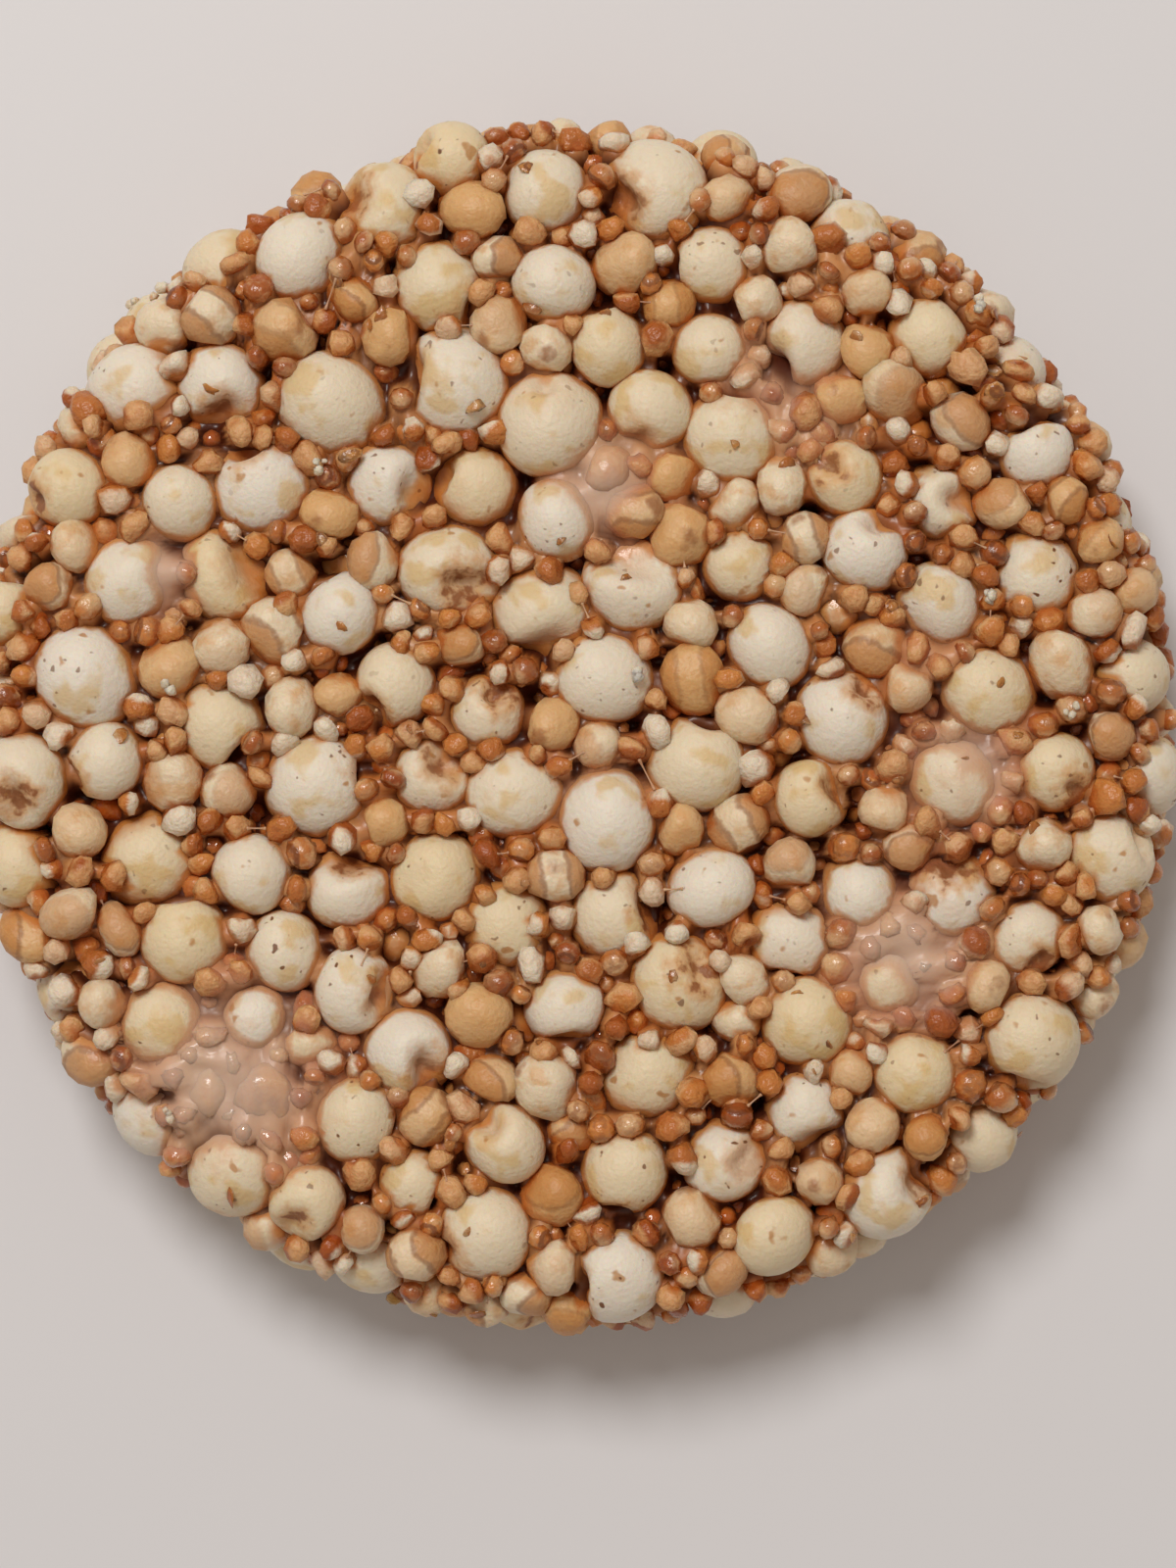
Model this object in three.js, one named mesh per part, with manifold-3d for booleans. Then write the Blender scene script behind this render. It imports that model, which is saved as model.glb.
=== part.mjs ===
// A round amaranth candy: puffed grains bound with syrup and pressed level in a ring mould.
// Millimetres, +Z up. The origin is the middle of the underside, on the surface the candy lies on.
import * as THREE from "three";
import { mergeVertices } from "three/addons/utils/BufferGeometryUtils.js";
import Module from "manifold-3d";

// Driving dimensions. The skin is the level that the mould pressed the grains to.
const CANDY_DIAMETER = 72;
const CANDY_THICKNESS = 13;
const RIM_ROUNDING = 4.5;
const CORE_INSET = 2.4;
const CORE_SIDES = 20;
const CORE_ARC_STEPS = 3;

// Each kind of puffed grain that is large enough to show its own form. Radius, and how far
// a grain stands proud of the skin, are drawn between two limits. Reach is the share of two
// grains' radii that keeps their middles apart, and below 1 they press into each other.
const SORGHUM = { darts: 7000, radius: [2.15, 3.05], proud: [-0.75, 0.6], reach: 0.95, dimple: 0.42 };
const MILLET = { darts: 1200, radius: [1.45, 1.95], proud: [-0.35, 0.3], reach: 0.97, dimple: 0 };
const DIMPLE_WIDTH = 0.5; // radians from the dimple's middle
const PUFF_FLATTENING = 0.9; // a puff's length along its dimple, as a share of its width
const FACET_GROWTH = 1.08; // a faceted puff of this size fills its round one
const MERGE_DISTANCE = 1e-3;
const SEED = 20123;

const RADIUS = CANDY_DIAMETER / 2;
const FLAT = RADIUS - RIM_ROUNDING;
const ARC = (Math.PI / 2) * RIM_ROUNDING;
const PROFILE = 2 * FLAT + 2 * ARC + (CANDY_THICKNESS - 2 * RIM_ROUNDING);

const wasm = await Module();
wasm.setup();

// The minimal standard generator, which gives the same draws on every machine.
let state = SEED;
function random() {
  state = (state * 16807) % 2147483647;
  return state / 2147483647;
}
const between = ([low, high]) => low + (high - low) * random();

// The skin's point and outward normal, at a length along its half section. The section runs
// from the middle of the top, over the rounded rim and down the wall, to the middle of the underside.
function skinAt(length, angle) {
  const side = length < PROFILE / 2 ? 1 : -1;
  const along = Math.min(length, PROFILE - length);
  const tilt = Math.min(Math.max((along - FLAT) / RIM_ROUNDING, 0), Math.PI / 2);
  const out = Math.min(along, FLAT) + RIM_ROUNDING * Math.sin(tilt);
  const down = RIM_ROUNDING * (1 - Math.cos(tilt)) + Math.max(along - FLAT - ARC, 0);
  const spoke = new THREE.Vector3(Math.cos(angle), Math.sin(angle), 0);
  const normal = spoke.clone().multiplyScalar(Math.sin(tilt));
  normal.z = side * Math.cos(tilt);
  const point = spoke.multiplyScalar(out);
  point.z = CANDY_THICKNESS / 2 + side * (CANDY_THICKNESS / 2 - down);
  return { point, normal };
}

// A direction drawn evenly over the sphere.
function randomDirection() {
  const z = between([-1, 1]);
  const angle = between([0, 2 * Math.PI]);
  const across = Math.sqrt(1 - z * z);
  return new THREE.Vector3(across * Math.cos(angle), across * Math.sin(angle), z);
}

// Throws darts at the skin, evenly by area, and keeps each grain that clears those already there.
function scatter(kind, puffs) {
  for (let dart = 0; dart < kind.darts; dart++) {
    const { point, normal } = skinAt(between([0, PROFILE]), between([0, 2 * Math.PI]));
    const radius = between(kind.radius);
    const proud = between(kind.proud);
    const dimple = randomDirection();
    if (Math.hypot(point.x, point.y) < RADIUS * random()) continue;
    const centre = point.addScaledVector(normal, proud - radius);
    const clear = puffs.every(
      (p) => p.centre.distanceTo(centre) > kind.reach * (p.radius + radius),
    );
    if (clear) puffs.push({ kind, centre, radius, dimple });
  }
}

// Moves the grains together, so that their outermost ones reach equally far to each side.
function centreOnAxis(puffs) {
  for (const axis of ["x", "y"]) {
    const high = Math.max(...puffs.map((p) => p.centre[axis] + p.radius));
    const low = Math.min(...puffs.map((p) => p.centre[axis] - p.radius));
    for (const p of puffs) p.centre[axis] -= (high + low) / 2;
  }
}

// A closed geometry as a solid that can be joined and cut. Corners that meet are merged, and
// the triangles that this collapses, as at the poles of a turned shape, are dropped.
function solidOf(geometry) {
  const bare = geometry.clone();
  bare.deleteAttribute("normal");
  bare.deleteAttribute("uv");
  const merged = mergeVertices(bare, MERGE_DISTANCE);
  const corners = [];
  for (let i = 0; i < merged.index.count; i += 3) {
    const triangle = merged.index.array.slice(i, i + 3);
    if (new Set(triangle).size === 3) corners.push(...triangle);
  }
  return new wasm.Manifold(
    new wasm.Mesh({
      numProp: 3,
      vertProperties: merged.getAttribute("position").array,
      triVerts: new Uint32Array(corners),
    }),
  );
}

function geometryOf(solid) {
  const mesh = solid.getMesh();
  const geometry = new THREE.BufferGeometry();
  geometry.setAttribute("position", new THREE.BufferAttribute(mesh.vertProperties, 3));
  geometry.setIndex(new THREE.BufferAttribute(mesh.triVerts, 1));
  geometry.computeVertexNormals();
  return geometry;
}

// The syrup-bound middle: the skin's own section, drawn in by the inset and turned about the axis.
function coreSolid() {
  const rounding = RIM_ROUNDING - CORE_INSET;
  const section = new THREE.Path();
  section.moveTo(0, CORE_INSET);
  section.lineTo(FLAT, CORE_INSET);
  section.absarc(FLAT, RIM_ROUNDING, rounding, -Math.PI / 2, 0);
  section.absarc(FLAT, CANDY_THICKNESS - RIM_ROUNDING, rounding, 0, Math.PI / 2);
  section.lineTo(0, CANDY_THICKNESS - CORE_INSET);
  const core = new THREE.LatheGeometry(section.getPoints(CORE_ARC_STEPS), CORE_SIDES);
  return solidOf(core.rotateX(Math.PI / 2));
}

// One puffed grain: a flattened ball of twenty facets, pushed in at one corner where the germ was.
function puffSolid({ kind, centre, radius, dimple }) {
  const ball = new THREE.IcosahedronGeometry(1);
  const position = ball.getAttribute("position");
  const pole = new THREE.Vector3().fromBufferAttribute(position, 0);
  const vertex = new THREE.Vector3();
  for (let i = 0; i < position.count; i++) {
    vertex.fromBufferAttribute(position, i);
    const fromPole = vertex.angleTo(pole) / DIMPLE_WIDTH;
    vertex.multiplyScalar(1 - kind.dimple * Math.exp(-fromPole * fromPole));
    vertex.addScaledVector(pole, (PUFF_FLATTENING - 1) * vertex.dot(pole));
    position.setXYZ(i, vertex.x, vertex.y, vertex.z);
  }
  const turn = new THREE.Quaternion().setFromUnitVectors(pole, dimple);
  const size = new THREE.Vector3().setScalar(radius * FACET_GROWTH);
  return solidOf(ball.applyMatrix4(new THREE.Matrix4().compose(centre, turn, size)));
}

// What the mould's floor pressed away: everything below the surface the candy lies on.
function mouldFloor() {
  const floor = new THREE.BoxGeometry(2 * CANDY_DIAMETER, 2 * CANDY_DIAMETER, CANDY_THICKNESS);
  return solidOf(floor.translate(0, 0, -CANDY_THICKNESS / 2));
}

// Fuses core and grains and presses the underside level. The largest body is kept, so that
// pockets sealed between touching grains are filled and loose scraps fall away.
function candySolid(puffs) {
  const fused = puffs.reduce((whole, puff) => whole.add(puffSolid(puff)), coreSolid());
  const bodies = fused.subtract(mouldFloor()).decompose();
  return bodies.reduce((most, body) => (body.volume() > most.volume() ? body : most));
}

// The first grain lies in the middle of the underside, and its cut face is the middle rest.
const middle = skinAt(PROFILE, 0);
const restingRadius = SORGHUM.radius[1];
const puffs = [
  {
    kind: SORGHUM,
    centre: middle.point.addScaledVector(middle.normal, SORGHUM.proud[1] - restingRadius),
    radius: restingRadius,
    dimple: new THREE.Vector3(0, 0, 1),
  },
];
scatter(SORGHUM, puffs);
scatter(MILLET, puffs);
centreOnAxis(puffs);

const toasted = new THREE.MeshStandardMaterial({
  color: new THREE.Color(0.82, 0.69, 0.5),
  roughness: 0.65,
  metalness: 0,
});
const candy = new THREE.Mesh(geometryOf(candySolid(puffs)), toasted);
candy.name = "amaranth_candy";

const group = new THREE.Group();
group.add(candy);

export default group;
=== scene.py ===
"""A round amaranth candy: puffed sorghum, puffed millet and popped amaranth bound with set syrup.

The larger grains repeat the draws of the solid they replace, so they lie where its bumps are.
Smaller grains then fill the gaps, and one closed sheet of syrup is drawn between them all.
Sizes are in millimetres, and become metres where a mesh is made.
"""

import math

import bpy
import numpy as np
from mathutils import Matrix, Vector


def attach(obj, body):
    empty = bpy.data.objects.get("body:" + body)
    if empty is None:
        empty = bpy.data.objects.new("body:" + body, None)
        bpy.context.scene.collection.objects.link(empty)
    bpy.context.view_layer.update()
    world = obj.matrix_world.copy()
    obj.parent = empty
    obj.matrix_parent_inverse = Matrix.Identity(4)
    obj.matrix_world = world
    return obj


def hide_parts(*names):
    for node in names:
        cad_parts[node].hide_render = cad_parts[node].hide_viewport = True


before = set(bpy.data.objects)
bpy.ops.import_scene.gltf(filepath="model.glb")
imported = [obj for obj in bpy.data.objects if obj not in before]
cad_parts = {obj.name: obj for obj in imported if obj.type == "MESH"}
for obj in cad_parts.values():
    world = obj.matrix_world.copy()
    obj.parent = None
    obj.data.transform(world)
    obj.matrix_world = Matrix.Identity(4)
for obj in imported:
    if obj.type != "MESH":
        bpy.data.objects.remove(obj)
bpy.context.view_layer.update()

# The candy's driving dimensions, as in the solid.
CANDY_DIAMETER = 72.0
CANDY_THICKNESS = 13.0
RIM_ROUNDING = 4.5
SOLID_SEED = 20123
GENERATOR_FACTOR = 16807
GENERATOR_MODULUS = 2147483647
SORGHUM = {"darts": 7000, "radius": (2.15, 3.05), "proud": (-0.75, 0.6), "reach": 0.95}
MILLET = {"darts": 1200, "radius": (1.45, 1.95), "proud": (-0.35, 0.3), "reach": 0.97}

RADIUS = CANDY_DIAMETER / 2
FLAT = RADIUS - RIM_ROUNDING
ARC = math.pi / 2 * RIM_ROUNDING
PROFILE = 2 * FLAT + 2 * ARC + (CANDY_THICKNESS - 2 * RIM_ROUNDING)
HALF_PROFILE = PROFILE / 2

# The grains that fill what the solid's own grains leave: radii, levels below the skin, tries at
# each level, reach, and how far they keep to patches.
MILLET_FILL = {
    "radius": (1.35, 2.0),
    "levels": (0.0, 0.3, 0.7, 1.1, 1.6, 2.1),
    "tries": 12000,
    "reach": 0.88,
    "patchy": 0.0,
}
AMARANTH_FILL = {
    "radius": (0.68, 1.06),
    "levels": (0.05, 0.3, 0.55, 0.8, 1.1, 1.4, 1.8, 2.2, 2.6, 3.0),
    "tries": 16000,
    "reach": 0.85,
    "patchy": 1.0,
}
AMBER_SHARE = 0.3
FILL_SEED = 4
PUFF_GROWTH = 1.05  # the rounded puffs, against the solid's
PUFF_BERTH = 1.07
FLAKES = 80
CRUMB_SPOTS = 18
CRUMBS_EACH = 3
THREADS = 110
# Puffed sorghum by its notch: a narrow pit, hardly any, or else a wide cleft.
# The last share is of those that turn it outwards.
PIT_SHARE = 0.25
PLAIN_SHARE = 0.25
SHOWN_SHARE = 0.7
DARTS_AT_ONCE = 4000
GIRTH_STEPS = 2000
PATCH_WAVES = 17.0

# The syrup: its sheets' grids above and below, how far they pass each other at the wall's middle,
# the deepest level it shows at, and the rolling radii of its fillets.
SYRUP_CELLS = {True: 300, False: 208}
SYRUP_OVERLAP = 0.5
SYRUP_FLOOR = 3.6
SYRUP_FILM = 0.5
THIN_FILLET = 0.45
POOL_FILLET = 1.5
SHEET_REACH = HALF_PROFILE + SYRUP_OVERLAP
POOL_COLOUR = (213, 187, 167)
POOL_WAVES = 22.0
SYRUP_DIPS = (0.85, 0.4, 0.5)  # inside sorghum, millet and amaranth, as a share of the radius
# Places where syrup gathered on the upper face: x, y and spread.
SYRUP_POOLS = (
    (-20.5, -21.0, 6.0),
    (19.5, -13.5, 4.0),
    (23.0, -2.5, 3.0),
    (1.5, 14.0, 3.0),
    (-24.0, 9.0, 2.0),
)

# The photograph's frame and where the candy lies in it, in pixels.
PHOTO_SIZE = (1200, 1600)
PHOTO_CENTRE = (585, 742)
PHOTO_RADIUS = 615
CAMERA_HEIGHT = 300.0
SENSOR = 36.0

MM = 0.001
BUMP_DEPTH = 0.0002  # metres
# A mesh attribute's type and data field, by the shape of one point's value.
ATTRIBUTE_KINDS = {
    (): ("FLOAT", "value"),
    (3,): ("FLOAT_VECTOR", "vector"),
    (4,): ("FLOAT_COLOR", "color"),
}


def linear(red, green, blue):
    """A screen colour of 0 to 255 as the linear colour that a shader takes."""
    share = np.array((red, green, blue)) / 255
    low = share / 12.92
    high = ((share + 0.055) / 1.055) ** 2.4
    return (*np.where(share <= 0.04045, low, high).tolist(), 1.0)


def smoothstep(low, high, value):
    """The cubic that rises from 0 at low to 1 at high."""
    share = np.clip((value - low) / (high - low), 0, 1)
    return share * share * (3 - 2 * share)


def unit(vectors):
    """Vectors divided by their lengths."""
    return vectors / np.linalg.norm(vectors, axis=-1, keepdims=True)


# Where the grains lie


def skin_at(length, angle):
    """The skin's points and outward normals.

    Length runs along the half section from the top's middle, over the rounded rim and down
    the wall to the underside's middle, and angle turns that section about the upright axis.
    """
    side = np.where(length < HALF_PROFILE, 1.0, -1.0)
    along = np.minimum(length, PROFILE - length)
    tilt = np.clip((along - FLAT) / RIM_ROUNDING, 0, math.pi / 2)
    out = np.minimum(along, FLAT) + RIM_ROUNDING * np.sin(tilt)
    down = RIM_ROUNDING * (1 - np.cos(tilt)) + np.maximum(along - FLAT - ARC, 0)
    height = CANDY_THICKNESS / 2 + side * (CANDY_THICKNESS / 2 - down)
    cos, sin = np.cos(angle), np.sin(angle)
    points = np.stack((out * cos, out * sin, height), -1)
    normals = np.stack((np.sin(tilt) * cos, np.sin(tilt) * sin, side * np.cos(tilt)), -1)
    return points, normals


def skin_of(points):
    """The other way round: each point's length and angle on the skin, and its height above it."""
    side = np.where(points[..., 2] > CANDY_THICKNESS / 2, 1.0, -1.0)
    out = np.hypot(points[..., 0], points[..., 1])
    angle = np.arctan2(points[..., 1], points[..., 0])
    up = side * (points[..., 2] - CANDY_THICKNESS / 2) + CANDY_THICKNESS / 2
    over_rim = up - (CANDY_THICKNESS - RIM_ROUNDING)
    past_flat = out - FLAT
    tilt = np.arctan2(past_flat, over_rim)
    on_flat = past_flat <= 0
    on_wall = (over_rim <= 0) & ~on_flat
    along = np.where(on_flat, out, np.where(on_wall, FLAT + ARC - over_rim, FLAT + RIM_ROUNDING * tilt))
    rim_height = np.hypot(past_flat, over_rim) - RIM_ROUNDING
    height = np.where(on_flat, up - CANDY_THICKNESS, np.where(on_wall, out - RADIUS, rim_height))
    return np.where(side > 0, along, PROFILE - along), angle, height


def solid_grains():
    """The solid's own grains: the same draws, of the minimal standard generator, in the same order."""
    state = SOLID_SEED

    def draw(low=0.0, high=1.0):
        nonlocal state
        state = state * GENERATOR_FACTOR % GENERATOR_MODULUS
        return low + (high - low) * (state / GENERATOR_MODULUS)

    point, normal = skin_at(np.float64(PROFILE), np.float64(0))
    first = SORGHUM["radius"][1]
    centres = [point + normal * (SORGHUM["proud"][1] - first)]
    radii = [first]
    dimples = [np.array((0.0, 0.0, 1.0))]
    counts = []
    for kind in (SORGHUM, MILLET):
        for _ in range(kind["darts"]):
            length, angle = draw(0, PROFILE), draw(0, 2 * math.pi)
            radius, proud = draw(*kind["radius"]), draw(*kind["proud"])
            rise, turn = draw(-1, 1), draw(0, 2 * math.pi)
            point, normal = skin_at(np.float64(length), np.float64(angle))
            if math.hypot(point[0], point[1]) < RADIUS * draw():
                continue
            centre = point + normal * (proud - radius)
            apart = np.linalg.norm(np.array(centres) - centre, axis=1)
            if np.all(apart > kind["reach"] * (np.array(radii) + radius)):
                across = math.sqrt(1 - rise * rise)
                centres.append(centre)
                radii.append(radius)
                dimples.append(np.array((across * math.cos(turn), across * math.sin(turn), rise)))
        counts.append(len(centres))
    centres, radii = np.array(centres), np.array(radii)
    flat = centres[:, :2]
    flat -= ((flat + radii[:, None]).max(0) + (flat - radii[:, None]).min(0)) / 2
    return centres, radii, np.array(dimples), counts[0]


def berths(radii, sorghum_count):
    """The radii that other grains keep clear of: a little more round the uneven puffs of sorghum."""
    return np.where(np.arange(len(radii)) < sorghum_count, PUFF_BERTH, 1.0) * radii


def fill_gaps(rng, centres, radii, fill):
    """Grains dropped into the gaps, level by level from the skin inwards.

    Each level throws its tries evenly over the skin and keeps a grain whose middle is further
    than reach times the two radii from every grain that is already there. Patchy grains keep to
    parts of the skin, the less so the deeper they lie.
    """
    lengths = np.linspace(0, PROFILE, GIRTH_STEPS)
    girth = np.cumsum(np.hypot(*skin_at(lengths, np.zeros(GIRTH_STEPS))[0][:, :2].T))
    start = len(radii)
    patches = slow_waves(rng, PATCH_WAVES)
    for level in np.repeat(fill["levels"], fill["tries"] // DARTS_AT_ONCE):
        length = np.interp(rng.random(DARTS_AT_ONCE) * girth[-1], girth, lengths)
        points, normals = skin_at(length, rng.random(DARTS_AT_ONCE) * 2 * math.pi)
        low, high = fill["radius"]
        radius = low + (high - low) * rng.random(DARTS_AT_ONCE)
        depth = radius + level + rng.uniform(-0.2, 0.2, DARTS_AT_ONCE)
        thrown = points - normals * depth[:, None]
        squared = (thrown**2).sum(1)[:, None] + (centres**2).sum(1) - 2 * thrown @ centres.T
        least = fill["reach"] * (radius[:, None] + radii)
        wanted = smoothstep(-0.6, 0.5, patches(points)) + 0.15 + 0.7 * level + (1 - fill["patchy"])
        clear = np.all(squared > least**2, axis=1)
        clear = np.flatnonzero(clear & (rng.random(DARTS_AT_ONCE) < wanted))
        kept = []
        for i in clear:
            apart = np.linalg.norm(thrown[kept] - thrown[i], axis=1)
            if np.all(apart > fill["reach"] * (radius[kept] + radius[i])):
                kept.append(i)
        centres = np.concatenate((centres, thrown[kept]))
        radii = np.concatenate((radii, radius[kept]))
    return centres[start:], radii[start:]


# The syrup between the grains


def disc_of_square(a, b):
    """The concentric map: a square of -1 to 1 as distance from the middle (0 to 1) and angle."""
    wide = np.abs(a) > np.abs(b)
    safe_a, safe_b = np.where(a == 0, 1, a), np.where(b == 0, 1, b)
    reach = np.where(wide, a, b)
    angle = np.where(wide, math.pi / 4 * b / safe_a, math.pi / 2 - math.pi / 4 * a / safe_b)
    angle = np.where((a == 0) & (b == 0), 0, angle)
    return np.abs(reach), np.where(reach < 0, angle + math.pi, angle)


def square_of_disc(reach, angle):
    """The concentric map the other way: distance and angle as a place in the square."""
    turned = (angle + math.pi / 4) % (2 * math.pi)
    quarter = np.floor(turned / (math.pi / 2)).astype(int) % 4
    share = (turned - quarter * math.pi / 2) / (math.pi / 4) - 1
    a = np.choose(quarter, (reach, -share * reach, -reach, share * reach))
    b = np.choose(quarter, (share * reach, reach, -share * reach, -reach))
    return a, b


def sheet_grid(upper):
    """Half of the syrup's sheet, to past the wall's middle: skin points and normals on a square grid."""
    steps = np.linspace(-1, 1, SYRUP_CELLS[upper] + 1)
    a, b = np.meshgrid(steps, steps, indexing="ij")
    reach, angle = disc_of_square(a, b)
    length = reach * SHEET_REACH
    return skin_at(length if upper else PROFILE - length, angle)


def sheet_cell(upper):
    """The width of a cell in one half of the syrup's sheet."""
    return 2 * SHEET_REACH / SYRUP_CELLS[upper]


def sheet_place(points, upper):
    """The row and column at which points lie in one half of the syrup's sheet."""
    length, angle, _ = skin_of(points)
    a, b = square_of_disc((length if upper else PROFILE - length) / SHEET_REACH, angle)
    return (a + 1) / 2 * SYRUP_CELLS[upper], (b + 1) / 2 * SYRUP_CELLS[upper]


def outer_heights(points, normals, upper, centres, radii, dips):
    """How high the outermost grain stands over each grid point, and how far the syrup dips inside it.

    Over a point the grain's ball ends at the height of its middle plus the root of radius
    squared less the sideways distance squared.
    """
    heights = np.full(points.shape[:2], -SYRUP_FLOOR)
    dip = np.zeros(points.shape[:2])
    row, column = sheet_place(centres, upper)
    margin = np.ceil(radii / sheet_cell(upper) * 1.5).astype(int) + 1
    for i in range(len(radii)):
        rows = slice(max(int(row[i]) - margin[i], 0), max(int(row[i]) + margin[i] + 2, 0))
        columns = slice(max(int(column[i]) - margin[i], 0), max(int(column[i]) + margin[i] + 2, 0))
        offset = centres[i] - points[rows, columns]
        if offset.size == 0:
            continue
        rise = (offset * normals[rows, columns]).sum(-1)
        aside = (offset**2).sum(-1) - rise**2
        top = rise + np.sqrt(np.maximum(radii[i] ** 2 - aside, 0))
        over = (aside < radii[i] ** 2) & (top > heights[rows, columns])
        heights[rows, columns] = np.where(over, top, heights[rows, columns])
        inside = dips[i] * radii[i] * np.maximum(1 - aside / (0.9 * radii[i]) ** 2, 0)
        dip[rows, columns] = np.where(over, inside, dip[rows, columns])
    return heights, dip


def rolled(heights, radius, cell):
    """Heights closed by a rolling ball: the surface below which a ball of this radius can't reach."""
    span = int(radius / cell)
    steps = [
        (i, j, math.sqrt(radius**2 - cell**2 * (i * i + j * j)) - radius)
        for i in range(-span, span + 1)
        for j in range(-span, span + 1)
        if cell**2 * (i * i + j * j) < radius**2
    ]
    size = heights.shape[0]

    def shifted(field, i, j):
        return field[span + i : span + i + size, span + j : span + j + size]

    padded = np.pad(heights, span, mode="edge")
    raised = np.max([shifted(padded, i, j) + cap for i, j, cap in steps], axis=0)
    padded = np.pad(raised, span, mode="edge")
    return np.min([shifted(padded, i, j) - cap for i, j, cap in steps], axis=0)


def softened(field, rounds):
    """A field averaged with its four neighbours, a few times over."""
    for _ in range(rounds):
        wide = np.pad(field, 1, mode="edge")
        field = (wide[:-2, 1:-1] + wide[2:, 1:-1] + wide[1:-1, :-2] + wide[1:-1, 2:] + 4 * field) / 8
    return field


def slow_waves(rng, size, count=14):
    """A function that gives points smooth random values of about -1 to 1: the mean of slow plane waves."""
    ways = unit(rng.normal(size=(count, 3)))
    phases = rng.random(count) * 2 * math.pi
    lengths = size * rng.uniform(0.6, 1.6, count)

    def field(points):
        waves = np.cos(points @ (ways / lengths[:, None] * 2 * math.pi).T + phases)
        return waves.mean(-1) * math.sqrt(count) / 1.4

    return field


def syrup_level(rng, points, normals, upper, centres, radii, dips):
    """The syrup's height on one half: small fillets between grains, and wide ones where it pooled."""
    heights, dip = outer_heights(points, normals, upper, centres, radii, dips)
    pooled = smoothstep(0.9, 1.9, slow_waves(rng, POOL_WAVES)(points)) * 0.7
    if upper:
        for x, y, spread in SYRUP_POOLS:
            away = np.hypot(points[..., 0] - x, points[..., 1] - y) / spread
            pooled = np.maximum(pooled, np.exp(-(away**2)))
    thin = rolled(heights, THIN_FILLET, sheet_cell(upper))
    wide = np.minimum(rolled(heights, POOL_FILLET, sheet_cell(upper)), 0.0)
    level = softened(thin + (np.maximum(wide, thin) - thin) * pooled, 1)
    film = SYRUP_FILM * (1 - 1.1 * pooled)
    return level - film - dip * (1 - 0.75 * pooled), pooled, heights


# Meshes


def new_piece(name, points, quads, triangles, material, slot, attributes):
    """One piece of the candy: a smooth mesh at the origin, with its attributes, on the candy's body."""
    mesh = bpy.data.meshes.new(name)
    corners = np.concatenate((quads.ravel(), triangles.ravel()))
    starts = np.concatenate(
        (np.arange(len(quads)) * 4, len(quads) * 4 + np.arange(len(triangles)) * 3)
    )
    mesh.vertices.add(len(points))
    mesh.vertices.foreach_set("co", (points * MM).astype(np.float32).ravel())
    mesh.loops.add(len(corners))
    mesh.loops.foreach_set("vertex_index", corners.astype(np.int32))
    mesh.polygons.add(len(starts))
    mesh.polygons.foreach_set("loop_start", starts.astype(np.int32))
    mesh.polygons.foreach_set("use_smooth", np.ones(len(starts), bool))
    mesh.update(calc_edges=True)
    for label, values in attributes.items():
        kind, field = ATTRIBUTE_KINDS[values.shape[1:]]
        attribute = mesh.attributes.new(label, kind, "POINT")
        attribute.data.foreach_set(field, values.astype(np.float32).ravel())
    mesh.materials.append(material)
    piece = bpy.data.objects.new(name, mesh)
    bpy.context.scene.collection.objects.link(piece)
    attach(piece, "root")
    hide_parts("amaranth_candy")


def ball_grid(sides, rings, crowding=1.0):
    """A unit ball's grid: directions of two poles and the rings between, and its faces.

    Ring k of the rings lies at the angle pi times its share to the power of crowding from
    the first pole, so a crowding over 1 draws the rings towards that pole.
    """
    polar = math.pi * (np.arange(1, rings + 1) / (rings + 1)) ** crowding
    around = 2 * math.pi * np.arange(sides) / sides
    polar, around = (grid.ravel() for grid in np.meshgrid(polar, around, indexing="ij"))
    sine = np.sin(polar)
    ring_points = np.stack((sine * np.cos(around), sine * np.sin(around), np.cos(polar)), -1)
    directions = np.concatenate(([(0, 0, 1)], ring_points, [(0, 0, -1)]))
    index = 1 + np.arange(rings * sides).reshape(rings, sides)
    right = np.roll(index, -1, axis=1)
    quads = np.stack((index[:-1], index[1:], right[1:], right[:-1]), -1).reshape(-1, 4)
    last = np.full(sides, len(directions) - 1)
    top = np.stack((np.zeros(sides, int), index[0], right[0]), -1)
    bottom = np.stack((last, right[-1], index[-1]), -1)
    return directions, quads, np.concatenate((top, bottom))


def repeated(faces, count, vertices):
    """The faces of one grain, for each of many grains whose vertices follow one another."""
    return (faces[None] + vertices * np.arange(count)[:, None, None]).reshape(-1, faces.shape[1])


def turned_to(axes, spins):
    """Turning matrices that take the upright axis to each given axis, after a spin about it."""
    helper = np.where(np.abs(axes[:, 2:]) < 0.9, (0.0, 0.0, 1.0), (1.0, 0.0, 0.0))
    side = unit(np.cross(helper, axes))
    other = np.cross(axes, side)
    cos, sin = np.cos(spins)[:, None], np.sin(spins)[:, None]
    return np.stack((side * cos + other * sin, other * cos - side * sin, axes), -1)


def lumps(rng, directions, count, waves, size):
    """Low swellings of a ball, for each of many: a few plane waves over its directions."""
    ways = unit(rng.normal(size=(count, waves, 3))) * rng.uniform(1.6, 4.2, (count, waves, 1))
    phases = rng.random((count, waves, 1)) * 2 * math.pi
    return size * np.cos(ways @ directions.T + phases).mean(1) * math.sqrt(waves)


def placed(shapes, turns, centres, radii):
    """Unit shapes turned, sized and set in place, and pressed level by the mould's floor."""
    points = centres[:, None] + radii[:, None, None] * np.einsum("nij,nvj->nvi", turns, shapes)
    points[..., 2] = np.maximum(points[..., 2], 0)
    return points.reshape(-1, 3)


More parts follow.
